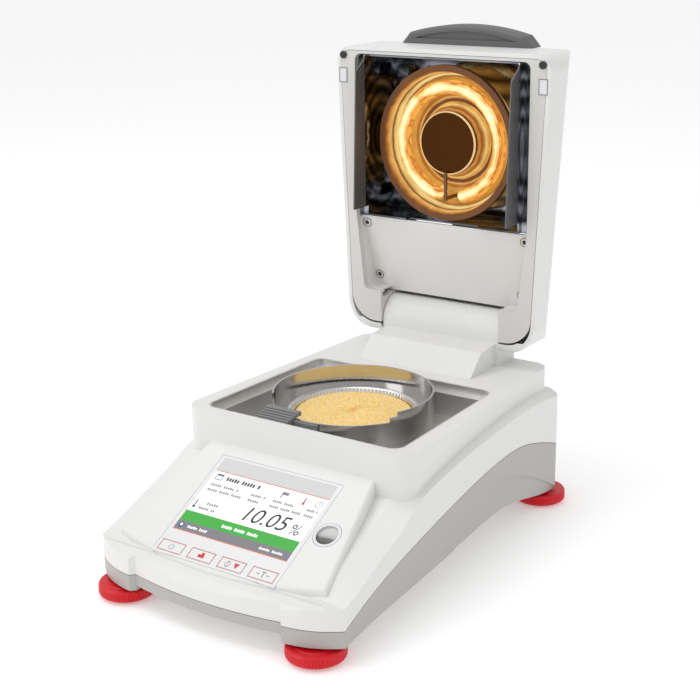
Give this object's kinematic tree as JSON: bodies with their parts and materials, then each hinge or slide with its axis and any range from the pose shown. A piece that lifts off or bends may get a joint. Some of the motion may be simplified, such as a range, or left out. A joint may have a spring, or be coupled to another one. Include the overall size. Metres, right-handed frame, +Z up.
{
  "type": "moisture analyzer",
  "caption": "Bench moisture analyzer: ring heater in a hinged lid, pan handler and weighing pan, sloped display panel with four keys, bubble level, four red levelling feet",
  "frame": {"origin": "under the middle of the whole machine with its lid open, at the underside of the foot pads", "axes": "+Z up, +Y to the back of the machine, +X to the right of a person who faces its display"},
  "size_m": [0.197, 0.3584, 0.3459],
  "materials": {
    "white_shell": "fine satin, moulded",
    "grey_shell": "warm light grey, satin",
    "cast_frame": "as cast",
    "overlay_film": "printed film with key outlines",
    "screen": "clear cover over a lit display",
    "black_plastic": "moulded black",
    "circuit_board": "green board with parts",
    "level_ring": "pale ring",
    "level_liquid": "liquid under a clear window",
    "tray_steel": "drawn stainless, fine grain",
    "cell_aluminium": "machined",
    "port_metal": "plated sheet",
    "key_film": "printed film, red outline",
    "ring_steel": "polished stainless",
    "grey_plastic": "dark grey, fine texture",
    "pan_foil": "thin pressed foil",
    "sample_grain": "loose yellow grain",
    "window_glass": "clear",
    "mirror_steel": "polished sheet",
    "lamp_dish": "spun and gold coated",
    "dark_disc": "heat-darkened",
    "quartz": "glowing when on",
    "probe_steel": "plain steel",
    "pale_sheet": "pale grey, satin",
    "red_wheel": "moulded red, knurled",
    "rubber_pad": "black rubber"
  },
  "bodies": {
    "machine": {"upper_housing": "white_shell", "lower_housing": "grey_shell", "inner_deck": "cast_frame", "control_overlay": "overlay_film", "display_glass": "screen", "display_module": "black_plastic", "mains_inlet": "black_plastic", "key_board": "circuit_board", "main_board": "circuit_board", "power_supply": "circuit_board", "level_bezel": "level_ring", "level_vial": "level_liquid", "chamber_tray": "tray_steel", "pan_support": "tray_steel", "hinge_pins": "tray_steel", "housing_screws": "tray_steel", "load_cell": "cell_aluminium", "data_ports": "port_metal"},
    "lid": {"lid_shell": "white_shell", "lid_frame": "white_shell", "viewing_window": "window_glass", "reflector_box": "mirror_steel", "heater_reflector": "lamp_dish", "heater_disc": "dark_disc", "halogen_tube": "quartz", "lamp_brackets": "lamp_dish", "temperature_probe": "probe_steel", "heat_shield": "pale_sheet", "shield_screws": "tray_steel", "lid_bumpers": "black_plastic", "closure_windows": "window_glass", "lid_handle": "grey_plastic"},
    "handler": {"pan_handler": "ring_steel", "handler_grip": "grey_plastic", "sample_pan": "pan_foil", "sample": "sample_grain"},
    "power_key_body": {"power_key": "key_film"},
    "print_key_body": {"print_key": "key_film"},
    "start_key_body": {"start_key": "key_film"},
    "tare_key_body": {"tare_key": "key_film"},
    "front_left_pad_body": {"front_left_foot_pad": "rubber_pad"},
    "front_left_wheel_body": {"front_left_foot_wheel": "red_wheel", "front_left_foot_stud": "probe_steel"},
    "front_right_pad_body": {"front_right_foot_pad": "rubber_pad"},
    "front_right_wheel_body": {"front_right_foot_wheel": "red_wheel", "front_right_foot_stud": "probe_steel"},
    "rear_left_pad_body": {"rear_left_foot_pad": "rubber_pad"},
    "rear_left_wheel_body": {"rear_left_foot_wheel": "red_wheel", "rear_left_foot_stud": "probe_steel"},
    "rear_right_pad_body": {"rear_right_foot_pad": "rubber_pad"},
    "rear_right_wheel_body": {"rear_right_foot_wheel": "red_wheel", "rear_right_foot_stud": "probe_steel"}
  },
  "joints": [
    {"name": "lid_hinge", "type": "hinge", "parent": "machine", "child": "lid", "pos_m": [0, 0.12495, 0.1252], "axis": [-1, 0, 0], "range_deg": [-90, 0]},
    {"name": "handler_lift", "type": "slide", "parent": "machine", "child": "handler", "axis": [0, 0, 1], "range_m": [0, 0.03]},
    {"name": "power_press", "type": "slide", "parent": "machine", "child": "power_key_body", "axis": [0, 0.4679, -0.8838], "range_m": [0, 0.0004], "stiffness_N_per_m": 1500, "springref_m": -0.0004},
    {"name": "print_press", "type": "slide", "parent": "machine", "child": "print_key_body", "axis": [0, 0.4679, -0.8838], "range_m": [0, 0.0004], "stiffness_N_per_m": 1500, "springref_m": -0.0004},
    {"name": "start_press", "type": "slide", "parent": "machine", "child": "start_key_body", "axis": [0, 0.4679, -0.8838], "range_m": [0, 0.0004], "stiffness_N_per_m": 1500, "springref_m": -0.0004},
    {"name": "tare_press", "type": "slide", "parent": "machine", "child": "tare_key_body", "axis": [0, 0.4679, -0.8838], "range_m": [0, 0.0004], "stiffness_N_per_m": 1500, "springref_m": -0.0004},
    {"name": "front_left_height", "type": "slide", "parent": "machine", "child": "front_left_pad_body", "axis": [0, 0, 1], "range_m": [-0.005, 0.0005]},
    {"name": "front_left_turn", "type": "hinge", "parent": "front_left_pad_body", "child": "front_left_wheel_body", "pos_m": [-0.0762, -0.16075, 0.0024], "axis": [0, 0, 1], "range_deg": [-1440, 144]},
    {"name": "front_right_height", "type": "slide", "parent": "machine", "child": "front_right_pad_body", "axis": [0, 0, 1], "range_m": [-0.005, 0.0005]},
    {"name": "front_right_turn", "type": "hinge", "parent": "front_right_pad_body", "child": "front_right_wheel_body", "pos_m": [0.0762, -0.16075, 0.0024], "axis": [0, 0, 1], "range_deg": [-1440, 144]},
    {"name": "rear_left_height", "type": "slide", "parent": "machine", "child": "rear_left_pad_body", "axis": [0, 0, 1], "range_m": [-0.005, 0.0005]},
    {"name": "rear_left_turn", "type": "hinge", "parent": "rear_left_pad_body", "child": "rear_left_wheel_body", "pos_m": [-0.0795, 0.12225, 0.0024], "axis": [0, 0, 1], "range_deg": [-1440, 144]},
    {"name": "rear_right_height", "type": "slide", "parent": "machine", "child": "rear_right_pad_body", "axis": [0, 0, 1], "range_m": [-0.005, 0.0005]},
    {"name": "rear_right_turn", "type": "hinge", "parent": "rear_right_pad_body", "child": "rear_right_wheel_body", "pos_m": [0.0795, 0.12225, 0.0024], "axis": [0, 0, 1], "range_deg": [-1440, 144]}
  ],
  "couplings": [
    {"joint": "front_left_turn", "follows": "front_left_height", "rad_per_m": 5026.5},
    {"joint": "front_right_turn", "follows": "front_right_height", "rad_per_m": 5026.5},
    {"joint": "rear_left_turn", "follows": "rear_left_height", "rad_per_m": 5026.5},
    {"joint": "rear_right_turn", "follows": "rear_right_height", "rad_per_m": 5026.5}
  ]
}
